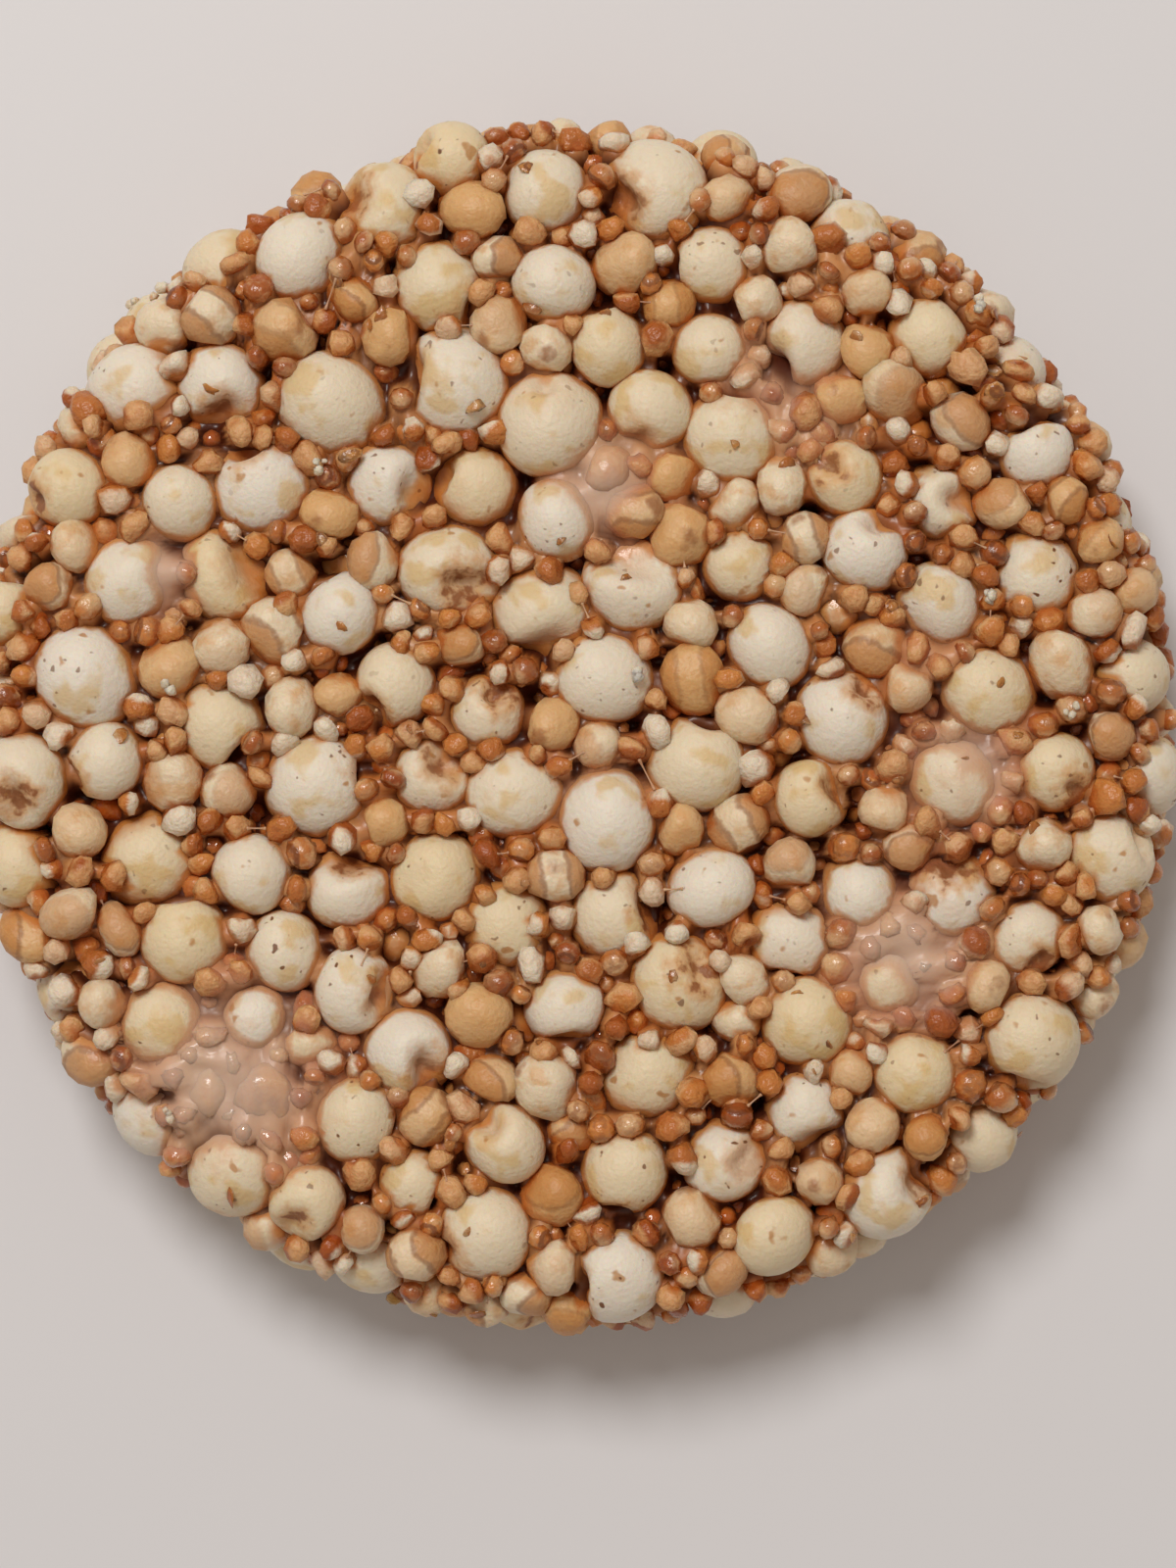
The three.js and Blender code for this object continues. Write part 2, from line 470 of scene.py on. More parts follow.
def read_sheets(fields, points):
    """Values at points of a field on each half of the syrup's sheet, from the nearest four cells."""
    found = np.zeros(len(points))
    on_top = points[:, 2] > CANDY_THICKNESS / 2
    for upper, field in zip((True, False), fields):
        row, column = sheet_place(points, upper)
        last = SYRUP_CELLS[upper] - 0.001
        row, column = np.clip(row, 0, last), np.clip(column, 0, last)
        i, j = row.astype(int), column.astype(int)
        u, v = row - i, column - j
        near = field[i, j] * (1 - u) * (1 - v) + field[i + 1, j] * u * (1 - v)
        far = field[i, j + 1] * (1 - u) * v + field[i + 1, j + 1] * u * v
        found = np.where(on_top == upper, near + far, found)
    return found


def grain_attributes(directions, lots, sheets, points):
    """What the grain materials read: the place on the grain, its lot of draws, and the syrup on it.

    The coat goes from 0 well above the syrup's level to 1 well below it, and to 2 deep in the candy; that
    last part is painted shade, which darkens the grains that lie deep.
    """
    levels, pools = sheets
    height = skin_of(points)[2]
    film = smoothstep(-0.85, 0.1, read_sheets(levels, points) - height)
    return {
        "place": np.tile(directions, (len(lots), 1)),
        "lot": np.repeat(lots, len(directions), axis=0),
        # From 0.6 to 2.8 mm below the skin the coat gains up to 1 more: painted shade for grains sunk deep
        # in the candy.
        "coat": film + smoothstep(0.6, 2.8, -height),
        "pool": read_sheets(pools, points),
    }


def sorghum_shapes(rng, directions, lots):
    """Puffed sorghum: a swollen ball with a notch at its pole, where the germ was.

    From the pole the radius is cut by a bell of the polar angle, wider one way round so that
    the notch is a cleft, and a low lip stands round it. Swellings and three uneven widths follow.
    """
    polar = np.arccos(np.clip(directions[:, 2], -1, 1))
    around = np.arctan2(directions[:, 1], directions[:, 0])
    count = len(lots)
    style = lots[:, 3]
    depth = rng.uniform(0.28, 0.46, count)
    depth = np.where(style < PIT_SHARE, rng.uniform(0.2, 0.34, count), depth)
    depth = np.where(style > 1 - PLAIN_SHARE, rng.uniform(0.02, 0.1, count), depth)[:, None]
    narrow = rng.uniform(0.2, 0.28, count)
    wide = rng.uniform(0.28, 0.42, count)
    width = np.where(style < PIT_SHARE, narrow, wide)[:, None]
    cleft = rng.uniform(0.0, 0.9, count)[:, None]
    spread = width * (1 + cleft * np.cos(around) ** 2)
    share = polar / spread
    radius = 1 - depth * np.exp(-(share**3)) + 0.12 * depth * np.exp(-(((share - 1.6) / 0.6) ** 2))
    radius = radius + lumps(rng, directions, count, 4, 0.028)
    widths = rng.uniform((0.98, 0.95, 0.93), (1.12, 1.06, 1.04), (count, 3))
    return directions * radius[..., None] * widths[:, None]


def notch_ways(rng, centres, dimples):
    """The way each notch faces: as in the solid, or tilted off the skin's normal so that it shows."""
    count = len(centres)
    length, angle, _ = skin_of(centres)
    normals = skin_at(length, angle)[1]
    frames = turned_to(normals, rng.random(count) * 2 * math.pi)
    tilt = rng.uniform(0.5, 1.35, count)[:, None]
    shown = frames[:, :, 0] * np.sin(tilt) + normals * np.cos(tilt)
    return np.where(rng.random((count, 1)) < SHOWN_SHARE, shown, dimples)


def pressed(rng, directions, count, flats, heights, sharpness):
    """The radius of a ball pressed by flats: each direction ends near the closest, blended at the edges."""
    ways = unit(rng.normal(size=(count, flats, 3)))
    height = rng.uniform(*heights, (count, flats, 1))
    lean = np.maximum(ways @ directions.T, 0.05)
    return 1 / ((lean / height) ** sharpness).sum(1).clip(0.9**sharpness) ** (1 / sharpness)


def millet_shapes(rng, directions, lots):
    """Puffed millet: a ball pressed to a few soft flats, a little longer or shorter than wide."""
    count = len(lots)
    radius = 1.04 * pressed(rng, directions, count, 7, (0.86, 1.04), 7)
    radius = radius + lumps(rng, directions, count, 4, 0.04)
    widths = rng.uniform((0.92, 0.86, 0.88), (1.06, 1.02, 1.2), (count, 3))
    return directions * radius[..., None] * widths[:, None]


def amaranth_shapes(rng, directions, lots):
    """Popped amaranth: a small crumpled bead, with a dent at the pole of some.

    The ball is pressed to a few flats, swollen unevenly and drawn to three uneven widths.
    """
    count = len(lots)
    radius = pressed(rng, directions, count, 9, (0.66, 1.0), 8)
    polar = np.arccos(np.clip(directions[:, 2], -1, 1))
    dent = np.maximum(rng.uniform(-0.3, 0.45, count), 0)[:, None]
    radius = radius - dent * np.exp(-((polar / 0.5) ** 2)) + lumps(rng, directions, count, 4, 0.05)
    widths = rng.uniform((0.92, 0.85, 0.8), (1.16, 1.1, 1.12), (count, 3))
    return directions * radius[..., None] * widths[:, None] * 1.08


def amber_shapes(rng, directions, lots):
    """Amaranth that kept its seed coat: a small lens-like bead, with a low rim round one end."""
    count = len(lots)
    polar = np.arccos(np.clip(directions[:, 2], -1, 1))
    rim = rng.uniform(0.5, 0.9, count)[:, None]
    dent = rng.uniform(0.05, 0.45, count)[:, None]
    radius = 1 - dent * np.exp(-((polar / rim) ** 2)) + lumps(rng, directions, count, 4, 0.09)
    widths = rng.uniform((0.95, 0.9, 0.8), (1.1, 1.05, 1.05), (count, 3))
    return directions * radius[..., None] * widths[:, None]


# Materials


def add(tree, kind, inputs=None, **settings):
    """A node with its settings, its sockets linked or set."""
    made = tree.nodes.new(kind)
    for key, value in settings.items():
        setattr(made, key, value)
    for socket, value in (inputs or {}).items():
        if isinstance(value, bpy.types.NodeSocket):
            tree.links.new(value, made.inputs[socket])
        else:
            made.inputs[socket].default_value = value
    return made


def mixed(tree, factor, first, second, blend="MIX"):
    """A colour between two, by a factor, or the first one blended with the second."""
    inputs = {0: factor, 6: first, 7: second}
    return add(tree, "ShaderNodeMix", inputs, data_type="RGBA", blend_type=blend).outputs[2]


def worked(tree, operation, *values):
    """The result of a Math node."""
    made = add(tree, "ShaderNodeMath", dict(enumerate(values)), operation=operation)
    return made.outputs[0]


def ramped(tree, value, low, high, to_low=0.0, to_high=1.0):
    """A value taken smoothly from one span to another."""
    inputs = {"Value": value, "From Min": low, "From Max": high, "To Min": to_low, "To Max": to_high}
    return add(tree, "ShaderNodeMapRange", inputs, interpolation_type="SMOOTHSTEP").outputs[0]


def noise(tree, vector, scale, detail=2.0, roughness=0.5):
    """Noise of a vector, as a value about 0.5."""
    inputs = {"Vector": vector, "Scale": scale, "Detail": detail, "Roughness": roughness}
    return add(tree, "ShaderNodeTexNoise", inputs).outputs["Fac"]


def new_group(name, inputs, outputs):
    """An empty shader group with its sockets, and its input and output nodes."""
    group = bpy.data.node_groups.new(name, "ShaderNodeTree")
    for label, kind in inputs.items():
        group.interface.new_socket(label, in_out="INPUT", socket_type=kind)
    for label, kind in outputs.items():
        group.interface.new_socket(label, in_out="OUTPUT", socket_type=kind)
    return group, group.nodes.new("NodeGroupInput").outputs, group.nodes.new("NodeGroupOutput").inputs


def use(tree, group, inputs):
    """A group placed in a material."""
    return add(tree, "ShaderNodeGroup", inputs, node_tree=group).outputs


def syrup_tint(tree, where):
    """Set syrup's own colour, milky to amber from place to place."""
    share = ramped(tree, noise(tree, where, 170.0, 3.0), 0.35, 0.65)
    return mixed(tree, share, linear(210, 148, 92), linear(188, 106, 44))


def syrup_film_group():
    """Set syrup on a grain: its colour by the coat, milky in a pool, uneven at the edge, and its gloss;
    where the coat runs on past 1, deep in the candy, a brown multiply paints shade on the grain.
    """
    group, given, result = new_group(
        "syrup_film",
        {
            "Colour": "NodeSocketColor",
            "Roughness": "NodeSocketFloat",
            "Coat": "NodeSocketFloat",
            "Pool": "NodeSocketFloat",
        },
        {"Colour": "NodeSocketColor", "Roughness": "NodeSocketFloat", "Film": "NodeSocketFloat"},
    )
    place = add(group, "ShaderNodeTexCoord").outputs["Object"]
    wander = worked(group, "MULTIPLY", worked(group, "SUBTRACT", noise(group, place, 600.0), 0.5), 0.9)
    wet_and_deep = worked(group, "MULTIPLY_ADD", given["Pool"], 0.35, given["Coat"])
    wet_and_deep = worked(group, "ADD", wet_and_deep, wander)
    film = ramped(group, wet_and_deep, 0.1, 1.0)
    soaked_and_shaded = mixed(group, film, given["Colour"], (0.9, 0.47, 0.19, 1.0), "MULTIPLY")
    # Painted shade: a brown multiply darkens grains whose coat runs from 1 to 2, those deep in the candy.
    soaked_and_shaded = mixed(group, ramped(group, wet_and_deep, 0.9, 2.0), soaked_and_shaded, (0.66, 0.42, 0.26, 1.0), "MULTIPLY")
    milky = mixed(group, worked(group, "MULTIPLY", film, 0.25), soaked_and_shaded, syrup_tint(group, place))
    veil = worked(group, "MULTIPLY", worked(group, "MULTIPLY", film, given["Pool"]), 0.85)
    group.links.new(mixed(group, veil, milky, linear(*POOL_COLOUR)), result["Colour"])
    gloss = worked(group, "MULTIPLY_ADD", film, -0.3, given["Roughness"])
    group.links.new(gloss, result["Roughness"])
    group.links.new(film, result["Film"])
    return group


def crumb_group():
    """The fine relief of puffed starch: two sizes of noise as a height, faded where syrup covers it."""
    group, given, result = new_group(
        "puffed_crumb",
        {"Coarse": "NodeSocketFloat", "Fine": "NodeSocketFloat", "Film": "NodeSocketFloat"},
        {"Height": "NodeSocketFloat"},
    )
    place = add(group, "ShaderNodeTexCoord").outputs["Object"]
    coarse = worked(group, "MULTIPLY", noise(group, place, 900.0, 3.0), given["Coarse"])
    fine = worked(group, "MULTIPLY", noise(group, place, 3600.0, 2.0), given["Fine"])
    bare = worked(group, "MULTIPLY_ADD", given["Film"], -0.6, 1.0)
    height = worked(group, "MULTIPLY", worked(group, "ADD", coarse, fine), bare)
    group.links.new(height, result["Height"])
    return group


def new_material(name):
    """A material, its node tree and its Principled shader."""
    material = bpy.data.materials.new(name)
    material.use_nodes = True
    tree = material.node_tree
    shader = next(n for n in tree.nodes if n.type == "BSDF_PRINCIPLED")
    return material, tree, shader


def grain_inputs(tree):
    """What a grain's material reads: place on the grain, lot's draws, coat (syrup, and painted shade deep
    down) and object coordinates.
    """
    place = add(tree, "ShaderNodeAttribute", attribute_name="place").outputs["Vector"]
    lot = add(tree, "ShaderNodeAttribute", attribute_name="lot")
    draws = add(tree, "ShaderNodeSeparateColor", {"Color": lot.outputs["Color"]})
    coat = add(tree, "ShaderNodeAttribute", attribute_name="coat").outputs["Fac"]
    where = add(tree, "ShaderNodeTexCoord").outputs["Object"]
    along = add(tree, "ShaderNodeSeparateXYZ", {"Vector": place}).outputs
    return along, (*draws.outputs[:3], lot.outputs["Alpha"]), coat, where


def finish_grain(tree, shader, colour, roughness, coat, relief, groups):
    """The shared end of a grain's material: syrup film with painted shade on deep grains, crumb relief and
    a little light let through.
    """
    film_group, crumb = groups
    pool = add(tree, "ShaderNodeAttribute", attribute_name="pool").outputs["Fac"]
    film = use(tree, film_group, {"Colour": colour, "Roughness": roughness, "Coat": coat, "Pool": pool})
    tree.links.new(film["Colour"], shader.inputs["Base Color"])
    tree.links.new(film["Roughness"], shader.inputs["Roughness"])
    height = use(tree, crumb, {"Coarse": relief[0], "Fine": relief[1], "Film": film["Film"]})["Height"]
    bump = add(tree, "ShaderNodeBump", {"Height": height, "Strength": 1.0, "Distance": BUMP_DEPTH})
    tree.links.new(bump.outputs[0], shader.inputs["Normal"])
    shader.inputs["Subsurface Weight"].default_value = 0.4
    shader.inputs["Subsurface Radius"].default_value = (1.0, 0.55, 0.28)
    shader.inputs["Subsurface Scale"].default_value = 0.0015


def sorghum_material(groups):
    """Puffed sorghum: cream with yellow blotches, a brown scar in the notch and a few dark specks."""
    material, tree, shader = new_material("puffed_sorghum")
    (_, _, up), (tone, spot, scar_draw, style), coat, where = grain_inputs(tree)
    colour = mixed(tree, tone, linear(232, 223, 208), linear(228, 208, 170))
    blotch = ramped(tree, noise(tree, where, 420.0, 2.0), 0.54, 0.66, 0.0, 0.6)
    colour = mixed(tree, blotch, colour, linear(214, 178, 108))
    notched = ramped(tree, style, 1 - PLAIN_SHARE, 1 - PLAIN_SHARE - 0.01, -0.3, 0.0)
    edge = worked(tree, "ADD", up, notched)
    edge = worked(tree, "MULTIPLY_ADD", noise(tree, where, 1000.0, 4.0), 0.7, edge)
    toasted = ramped(tree, scar_draw, 0.1, 0.6, 0.15, 0.7)
    toast = worked(tree, "MULTIPLY", ramped(tree, edge, 1.02, 1.32), toasted)
    colour = mixed(tree, toast, colour, linear(204, 144, 74))
    scarred = ramped(tree, scar_draw, 0.3, 0.6, 0.0, 0.85)
    scar = worked(tree, "MULTIPLY", ramped(tree, edge, 1.26, 1.36), scarred)
    colour = mixed(tree, scar, colour, linear(140, 76, 30))
    mark = ramped(tree, noise(tree, where, 640.0, 2.0), 0.68, 0.74, 0.0, 0.8)
    colour = mixed(tree, mark, colour, linear(184, 128, 64))
    speck = ramped(tree, noise(tree, where, 1500.0, 1.0), 0.3, 0.24)
    colour = mixed(tree, worked(tree, "MULTIPLY", speck, spot), colour, linear(120, 74, 38))
    finish_grain(tree, shader, colour, 0.54, coat, (0.45, 0.25), groups)
    return material


def millet_material(groups):
    """Puffed millet: beige, with toasted bran on both sides of a pale band, more on some grains."""
    material, tree, shader = new_material("puffed_millet")
    (across, _, up), (tone, bran_draw, _, _), coat, where = grain_inputs(tree)
    colour = mixed(tree, ramped(tree, tone, 0.3, 1.0), linear(229, 211, 182), linear(218, 172, 116))
    blotch = ramped(tree, noise(tree, where, 700.0, 3.0), 0.5, 0.68, 0.0, 0.6)
    colour = mixed(tree, blotch, colour, linear(212, 160, 100))
    wander = worked(tree, "MULTIPLY_ADD", noise(tree, where, 800.0, 3.0), 0.5, -0.25)
    flank = worked(tree, "ADD", worked(tree, "ABSOLUTE", across), wander)
    bran = worked(tree, "MULTIPLY", ramped(tree, flank, 0.3, 0.6), ramped(tree, bran_draw, 0.35, 0.8))
    colour = mixed(tree, worked(tree, "MULTIPLY", bran, 0.8), colour, linear(196, 134, 70))
    line = worked(tree, "MULTIPLY", ramped(tree, flank, 0.3, 0.42), ramped(tree, flank, 0.56, 0.46))
    line = worked(tree, "MULTIPLY", line, ramped(tree, bran_draw, 0.5, 0.9, 0.0, 0.55))
    colour = mixed(tree, line, colour, linear(132, 78, 34))
    tip = worked(tree, "MULTIPLY_ADD", noise(tree, where, 900.0, 3.0), 0.35, up)
    colour = mixed(tree, ramped(tree, tip, 1.08, 1.2, 0.0, 0.75), colour, linear(150, 88, 40))
    finish_grain(tree, shader, colour, 0.48, coat, (0.6, 0.3), groups)
    return material


def amaranth_material(groups):
    """Popped amaranth: pinkish white flour with a patch of the amber seed coat left on one side."""
    material, tree, shader = new_material("popped_amaranth")
    (_, _, up), (tone, hull_draw, shade, _), coat, where = grain_inputs(tree)
    white = mixed(tree, ramped(tree, tone, 0.15, 0.6), linear(229, 212, 190), linear(214, 162, 110))
    mottled = ramped(tree, noise(tree, where, 1700.0, 3.0), 0.46, 0.62, 0.0, 0.55)
    white = mixed(tree, worked(tree, "MULTIPLY", mottled, tone), white, linear(188, 124, 70))
    amber = mixed(tree, shade, linear(206, 134, 68), linear(160, 80, 26))
    wander = worked(tree, "MULTIPLY_ADD", noise(tree, where, 1300.0, 3.0), 0.7, -0.35)
    reach = ramped(tree, hull_draw, 0.0, 1.0, 1.1, -0.6)
    hull = ramped(tree, worked(tree, "SUBTRACT", worked(tree, "ADD", up, wander), reach), -0.2, 0.25)
    colour = mixed(tree, hull, white, amber)
    roughness = worked(tree, "MULTIPLY_ADD", hull, -0.15, 0.52)
    finish_grain(tree, shader, colour, roughness, coat, (1.3, 0.5), groups)
    return material


def amber_material(groups):
    """Amaranth in its seed coat: glossy amber, paler towards one end, a dark ring round the germ."""
    material, tree, shader = new_material("amber_seed_coat")
    (_, _, up), (tone, shade, ring_draw, _), coat, where = grain_inputs(tree)
    amber = mixed(tree, tone, linear(210, 136, 68), linear(156, 76, 24))
    wander = worked(tree, "MULTIPLY_ADD", noise(tree, where, 1100.0, 3.0), 0.6, -0.3)
    tip = worked(tree, "ADD", up, wander)
    amber = mixed(tree, ramped(tree, tip, -0.1, -0.9, 0.0, 0.8), amber, linear(220, 182, 138))
    mottled = ramped(tree, noise(tree, where, 1500.0, 3.0), 0.45, 0.62, 0.0, 0.6)
    amber = mixed(tree, mottled, amber, mixed(tree, shade, linear(222, 180, 132), linear(140, 76, 34)))
    ring = worked(tree, "MULTIPLY", ramped(tree, tip, 0.45, 0.6), ramped(tree, tip, 0.95, 0.8))
    ring = worked(tree, "MULTIPLY", ring, ramped(tree, ring_draw, 0.3, 0.7, 0.0, 0.75))
    colour = mixed(tree, ring, amber, linear(110, 54, 22))
    finish_grain(tree, shader, colour, 0.28, coat, (1.2, 0.4), groups)
    shader.inputs["Subsurface Weight"].default_value = 0.35
    shader.inputs["Coat Weight"].default_value = 0.4
    shader.inputs["Coat Roughness"].default_value = 0.12
    return material


def syrup_material():
    """Set syrup: milky beige where it pooled and amber where it is thin, with painted shade that darkens it
    where it lies deep between the grains.
    """
    material, tree, shader = new_material("set_syrup")
    depth = add(tree, "ShaderNodeAttribute", attribute_name="depth").outputs["Fac"]
    pool = add(tree, "ShaderNodeAttribute", attribute_name="pool").outputs["Fac"]
    where = add(tree, "ShaderNodeTexCoord").outputs["Object"]
    milky = worked(tree, "MULTIPLY", pool, 0.8)
    shallow = mixed(tree, milky, syrup_tint(tree, where), linear(*POOL_COLOUR))
    # Painted shade: the syrup turns dark brown with its depth below the skin, standing in for the shade in
    # the gaps between the grains.
    deep_painted_shade = ramped(tree, depth, 0.6, 2.2)
    colour = mixed(tree, deep_painted_shade, shallow, linear(78, 30, 10))
    tree.links.new(colour, shader.inputs["Base Color"])
    gloss = ramped(tree, noise(tree, where, 500.0), 0.3, 0.7, 0.28, 0.5)
    tree.links.new(gloss, shader.inputs["Roughness"])
    wrinkles = noise(tree, where, 600.0, 3.0)
    bump = add(tree, "ShaderNodeBump", {"Height": wrinkles, "Strength": 0.6, "Distance": BUMP_DEPTH})
    tree.links.new(bump.outputs[0], shader.inputs["Normal"])
    shader.inputs["Subsurface Weight"].default_value = 0.25
    shader.inputs["Subsurface Radius"].default_value = (1.0, 0.5, 0.22)
    shader.inputs["Subsurface Scale"].default_value = 0.0014
    return material


# The candy


def lay_syrup(upper, sheet, level, pooled, material):
    """Half of the syrup: the skin moved along its normals to the syrup's level, and shut at the middle.

    The half is a square grid, and a flat cone closes it from its edge to the candy's middle.
    """
    skin, normals = sheet
    size = SYRUP_CELLS[upper] + 1
    points = (skin + normals * level[..., None]).reshape(-1, 3)
    points[:, 2] = np.maximum(points[:, 2], 0.02)
    points = np.concatenate((points, [(0, 0, CANDY_THICKNESS / 2)]))
    grid = np.arange(size * size).reshape(size, size)
    quads = np.stack((grid[:-1, :-1], grid[1:, :-1], grid[1:, 1:], grid[:-1, 1:]), -1).reshape(-1, 4)
    edge = np.concatenate((grid[0, :-1], grid[:-1, -1], grid[-1, :0:-1], grid[:0:-1, 0]))
    lid = np.stack((edge, np.roll(edge, -1), np.full(len(edge), size * size)), -1)
    if not upper:
        quads, lid = quads[:, ::-1], lid[:, ::-1]
    attributes = {"depth": np.append(-level, 0), "pool": np.append(pooled, 0)}
    name = "syrup_upper" if upper else "syrup_lower"
    new_piece(name, points, quads, lid, material, "syrup_binder", attributes)


def resting_places(rng, tops, count, lowest):
    """Random places on the outermost grains, above a lowest level, and the skin's normals there."""
    skins = np.concatenate([half[0].reshape(-1, 3) for half in tops])
    normals = np.concatenate([half[1].reshape(-1, 3) for half in tops])
    heights = np.concatenate([half[2].ravel() for half in tops])
    chosen = rng.choice(np.flatnonzero(heights > lowest), count, replace=False)
    return skins[chosen] + normals[chosen] * heights[chosen, None], normals[chosen]


def scatter_flakes(rng, tops, sheets, material):
    """Flakes of seed coat: thin lenses, bent across and ragged at the edge, lying on the grains."""
    places, normals = resting_places(rng, tops, FLAKES, -0.5)
    directions, quads, triangles = ball_grid(9, 4)
    ragged = 1 + lumps(rng, directions, FLAKES, 4, 0.22)
    widths = rng.uniform((0.7, 0.4, 0.06), (1.1, 0.8, 0.1), (FLAKES, 3))
    shapes = directions * ragged[..., None] * widths[:, None]
    shapes[..., 2] -= rng.uniform(0.15, 0.5, FLAKES)[:, None] * shapes[..., 0] ** 2
    axes = unit(normals + rng.normal(0, 0.35, (FLAKES, 3)))
    turns = turned_to(axes, rng.random(FLAKES) * 2 * math.pi)
    sizes = rng.uniform(0.35, 0.8, FLAKES)
    points = placed(shapes, turns, places + normals * 0.04, sizes)
    attributes = grain_attributes(directions, rng.random((FLAKES, 4)), sheets, points)
    faces = [repeated(face, FLAKES, len(directions)) for face in (quads, triangles)]
    new_piece("seed_coat_flakes", points, *faces, material, "bran_shell", attributes)


def scatter_crumbs(rng, tops, sheets, material):
    """Crumbs of popped flour: a few tiny beads together, here and there on the grains."""
    places, normals = resting_places(rng, tops, CRUMB_SPOTS, -0.6)
    count = CRUMB_SPOTS * CRUMBS_EACH
    sizes = rng.uniform(0.2, 0.42, count)
    aside = rng.normal(0, 0.26, (count, 3))
    normals = np.repeat(normals, CRUMBS_EACH, axis=0)
    aside -= normals * (aside * normals).sum(1, keepdims=True)
    middles = np.repeat(places, CRUMBS_EACH, axis=0) + aside + normals * sizes[:, None] * 0.5
    directions, quads, triangles = ball_grid(6, 3)
    turns = turned_to(unit(rng.normal(size=(count, 3))), np.zeros(count))
    lots = rng.random((count, 4)) * (0.3, 0.2, 1, 1)
    points = placed(amaranth_shapes(rng, directions, lots), turns, middles, sizes)
    attributes = grain_attributes(directions, lots, sheets, points)
    attributes["coat"] = np.zeros(len(points))
    faces = [repeated(face, count, len(directions)) for face in (quads, triangles)]
    new_piece("flour_crumbs", points, *faces, material, "popped_amaranth", attributes)


def draw_threads(rng, centres, radii, material):
    """Threads of syrup drawn out between neighbouring grains.

    Each runs from one grain's surface to the next along a sagging arc, and is thinnest half way.
    """
    outer = np.flatnonzero(skin_of(centres)[2] > -2.4)
    first = rng.choice(outer, THREADS, replace=False)
    apart = np.linalg.norm(centres[first][:, None] - centres[outer], axis=-1)
    apart = apart - radii[first][:, None] - radii[outer]
    apart[apart < 0.25] = np.inf
    second = outer[np.argmin(apart, axis=1)]
    way = unit(centres[second] - centres[first])
    length, angle, _ = skin_of(centres[first])
    outwards = skin_at(length, angle)[1]
    lean = unit(way + 0.8 * outwards)
    back = unit(-way + 0.8 * outwards)
    start = centres[first] + lean * radii[first][:, None] * 0.97
    end = centres[second] + back * radii[second][:, None] * 0.97
    directions, quads, triangles = ball_grid(6, 9)
    along = ((1 - directions[:, 2]) / 2)[:, None]
    flat = directions[:, :2]
    across = flat / np.maximum(np.linalg.norm(flat, axis=1, keepdims=True), 1e-6)
    thick = (0.045 + 0.12 * (2 * along - 1) ** 4) * np.sqrt(np.clip(4 * along * (1 - along) * 6, 0, 1))
    span = np.linalg.norm(end - start, axis=1)[:, None, None]
    path = start[:, None] * (1 - along) + end[:, None] * along
    sag = rng.uniform(0.0, 0.22, THREADS)[:, None, None]
    path -= outwards[:, None] * 4 * along * (1 - along) * span * sag
    frames = turned_to(unit(end - start), np.zeros(THREADS))
    points = path + np.einsum("nij,vj->nvi", frames[:, :, :2], across * thick)
    points = points.reshape(-1, 3)
    points[:, 2] = np.maximum(points[:, 2], 0.01)
    faces = [repeated(face, THREADS, len(directions))[:, ::-1] for face in (quads, triangles)]
    attributes = {"depth": np.zeros(len(points)), "pool": np.full(len(points), 0.5)}
    new_piece("syrup_threads", points, *faces, material, "syrup_binder", attributes)


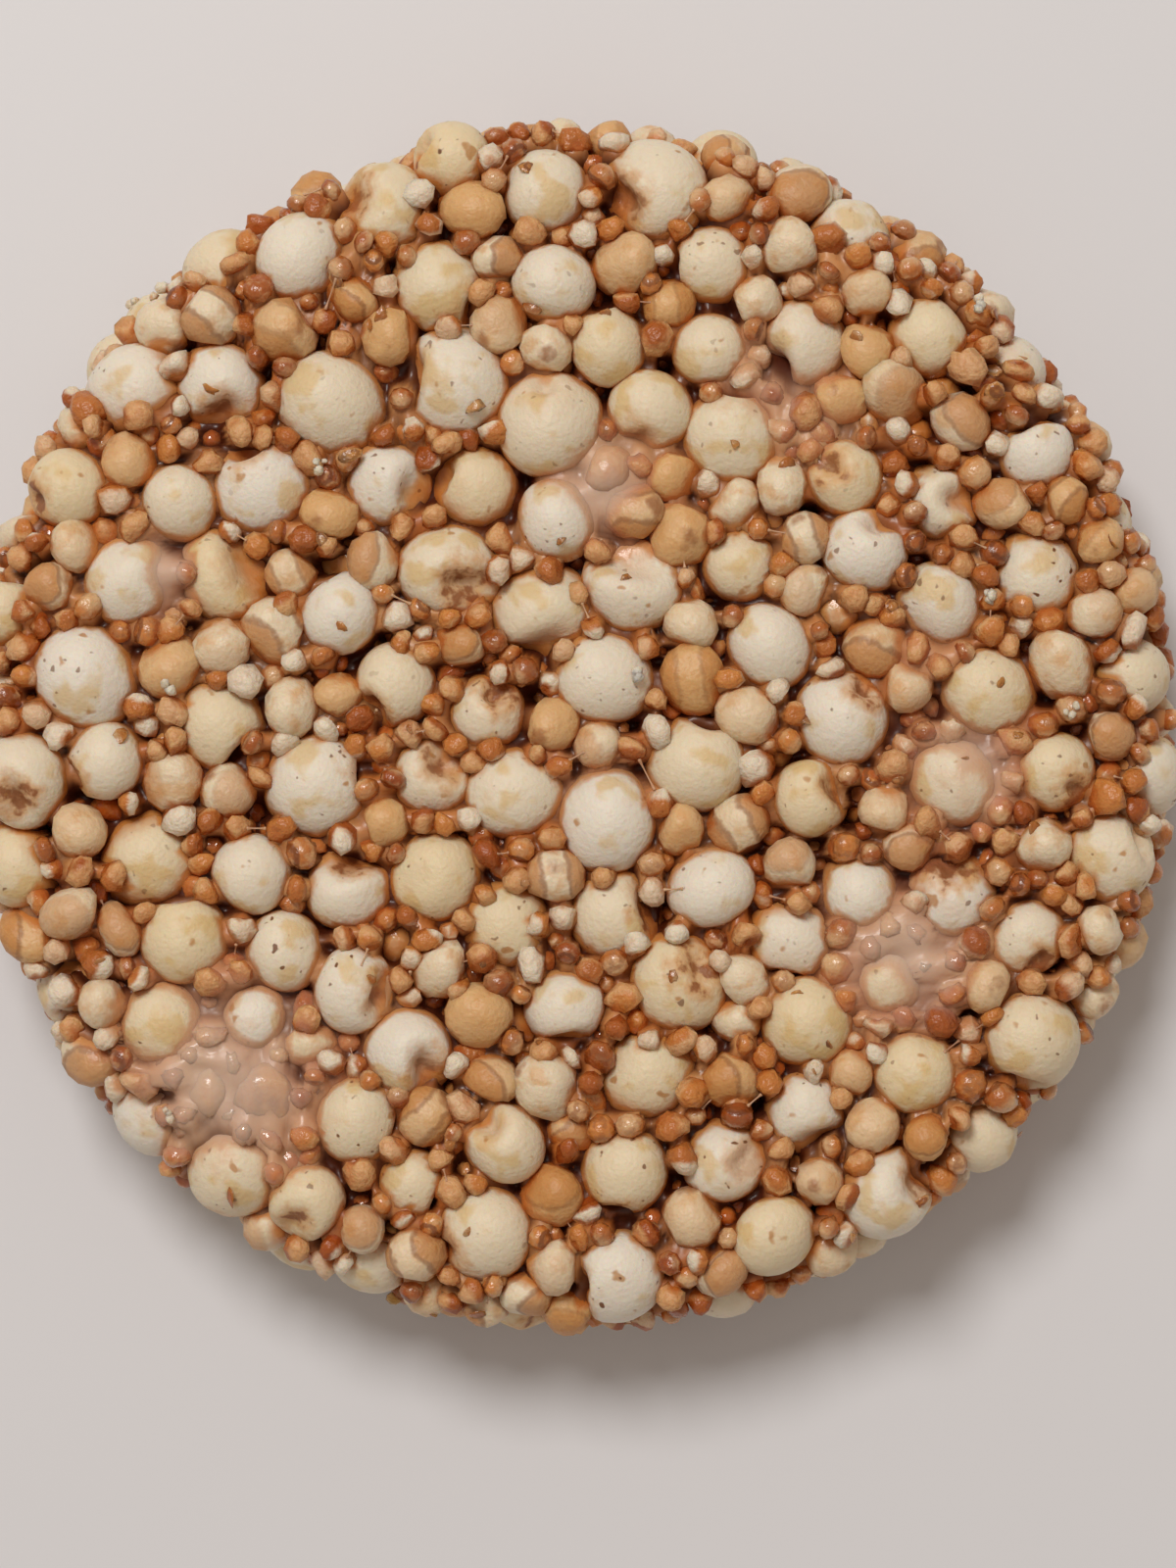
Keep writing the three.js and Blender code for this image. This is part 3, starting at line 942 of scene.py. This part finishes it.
def build_candy():
    """Places every grain, draws the syrup between them and makes the pieces."""
    rng = np.random.default_rng(FILL_SEED)
    centres, radii, dimples, sorghum_count = solid_grains()
    radii[:sorghum_count] *= PUFF_GROWTH
    filled = fill_gaps(rng, centres, berths(radii, sorghum_count), MILLET_FILL)
    centres, radii = np.concatenate((centres, filled[0])), np.concatenate((radii, filled[1]))
    millet_count = len(radii) - sorghum_count
    filled = fill_gaps(rng, centres, berths(radii, sorghum_count), AMARANTH_FILL)
    centres, radii = np.concatenate((centres, filled[0])), np.concatenate((radii, filled[1]))
    amaranth_count = len(filled[1])
    counts = (sorghum_count, millet_count, amaranth_count)
    dips = np.repeat(SYRUP_DIPS, counts)

    syrup = syrup_material()
    levels, pools, tops = [], [], []
    for upper in (True, False):
        sheet = sheet_grid(upper)
        level, pooled, heights = syrup_level(rng, *sheet, upper, centres, radii, dips)
        lay_syrup(upper, sheet, level, pooled, syrup)
        levels.append(level)
        pools.append(pooled)
        tops.append((*sheet, heights))

    sheets = levels, pools
    groups = syrup_film_group(), crumb_group()
    kind = np.repeat((0, 1, 2), counts)
    kind[kind == 2] += rng.random(amaranth_count) < AMBER_SHARE
    kinds = (
        ("sorghum_puffs", sorghum_shapes, (26, 15, 1.2), sorghum_material, "puffed_grain"),
        ("millet_puffs", millet_shapes, (12, 7, 1.0), millet_material, "puffed_grain"),
        ("amaranth_pops", amaranth_shapes, (8, 5, 1.0), amaranth_material, "popped_amaranth"),
        ("amber_seeds", amber_shapes, (8, 5, 1.0), amber_material, "bran_shell"),
    )
    finishes = {}
    for number, (name, shapes, grid, material, slot) in enumerate(kinds):
        finishes[name] = material(groups)
        mine = np.flatnonzero(kind == number)
        count = len(mine)
        directions, quads, triangles = ball_grid(*grid)
        axes = unit(rng.normal(size=(count, 3)))
        if name == "sorghum_puffs":
            axes = notch_ways(rng, centres[mine], dimples[:count])
        turns = turned_to(axes, rng.random(count) * 2 * math.pi)
        lots = rng.random((count, 4))
        points = placed(shapes(rng, directions, lots), turns, centres[mine], radii[mine])
        attributes = grain_attributes(directions, lots, sheets, points)
        new_piece(
            name,
            points,
            repeated(quads, count, len(directions)),
            repeated(triangles, count, len(directions)),
            finishes[name],
            slot,
            attributes,
        )
    scatter_flakes(rng, tops, sheets, finishes["amber_seeds"])
    scatter_crumbs(rng, tops, sheets, finishes["amaranth_pops"])
    draw_threads(rng, centres, radii, syrup)


# The stage


def lay_floor():
    """The pale surface the candy lies on, large enough for every view."""
    bpy.ops.mesh.primitive_plane_add(size=3.0)
    floor = bpy.context.object
    floor.name = "floor"
    material, _, shader = new_material("pale_floor")
    shader.inputs["Base Color"].default_value = linear(224, 223, 226)
    shader.inputs["Roughness"].default_value = 0.5
    floor.data.materials.append(material)


def light_stage():
    """A large soft lamp high behind the candy, to its left, and a dim even surround."""
    world = bpy.data.worlds.new("studio")
    world.use_nodes = True
    world.node_tree.nodes["Background"].inputs["Color"].default_value = linear(250, 236, 222)
    world.node_tree.nodes["Background"].inputs["Strength"].default_value = 0.36
    bpy.context.scene.world = world
    lamp = bpy.data.lights.new("window", "AREA")
    lamp.shape = "DISK"
    lamp.size = 0.36
    lamp.energy = 5.7
    lamp.color = (1.0, 0.98, 0.95)
    window = bpy.data.objects.new("window", lamp)
    window.location = (-0.2, 0.46, 0.84)
    window.rotation_euler = (-Vector(window.location)).to_track_quat("-Z", "Y").to_euler()
    bpy.context.scene.collection.objects.link(window)


def set_camera():
    """Straight above, with the lens that frames the candy as the photograph does."""
    width, height = PHOTO_SIZE
    scale = RADIUS / PHOTO_RADIUS
    camera = bpy.data.cameras.new("camera")
    camera.sensor_fit = "VERTICAL"
    camera.sensor_height = SENSOR
    camera.lens = SENSOR * (CAMERA_HEIGHT - CANDY_THICKNESS / 2) / (height * scale)
    camera.clip_start = 0.01
    viewer = bpy.data.objects.new("camera", camera)
    x = (width / 2 - PHOTO_CENTRE[0]) * scale
    y = -(height / 2 - PHOTO_CENTRE[1]) * scale
    viewer.location = (x * MM, y * MM, CAMERA_HEIGHT * MM)
    bpy.context.scene.collection.objects.link(viewer)
    bpy.context.scene.camera = viewer
    bpy.context.scene.view_settings.view_transform = "Standard"


set_camera()
light_stage()
lay_floor()
build_candy()
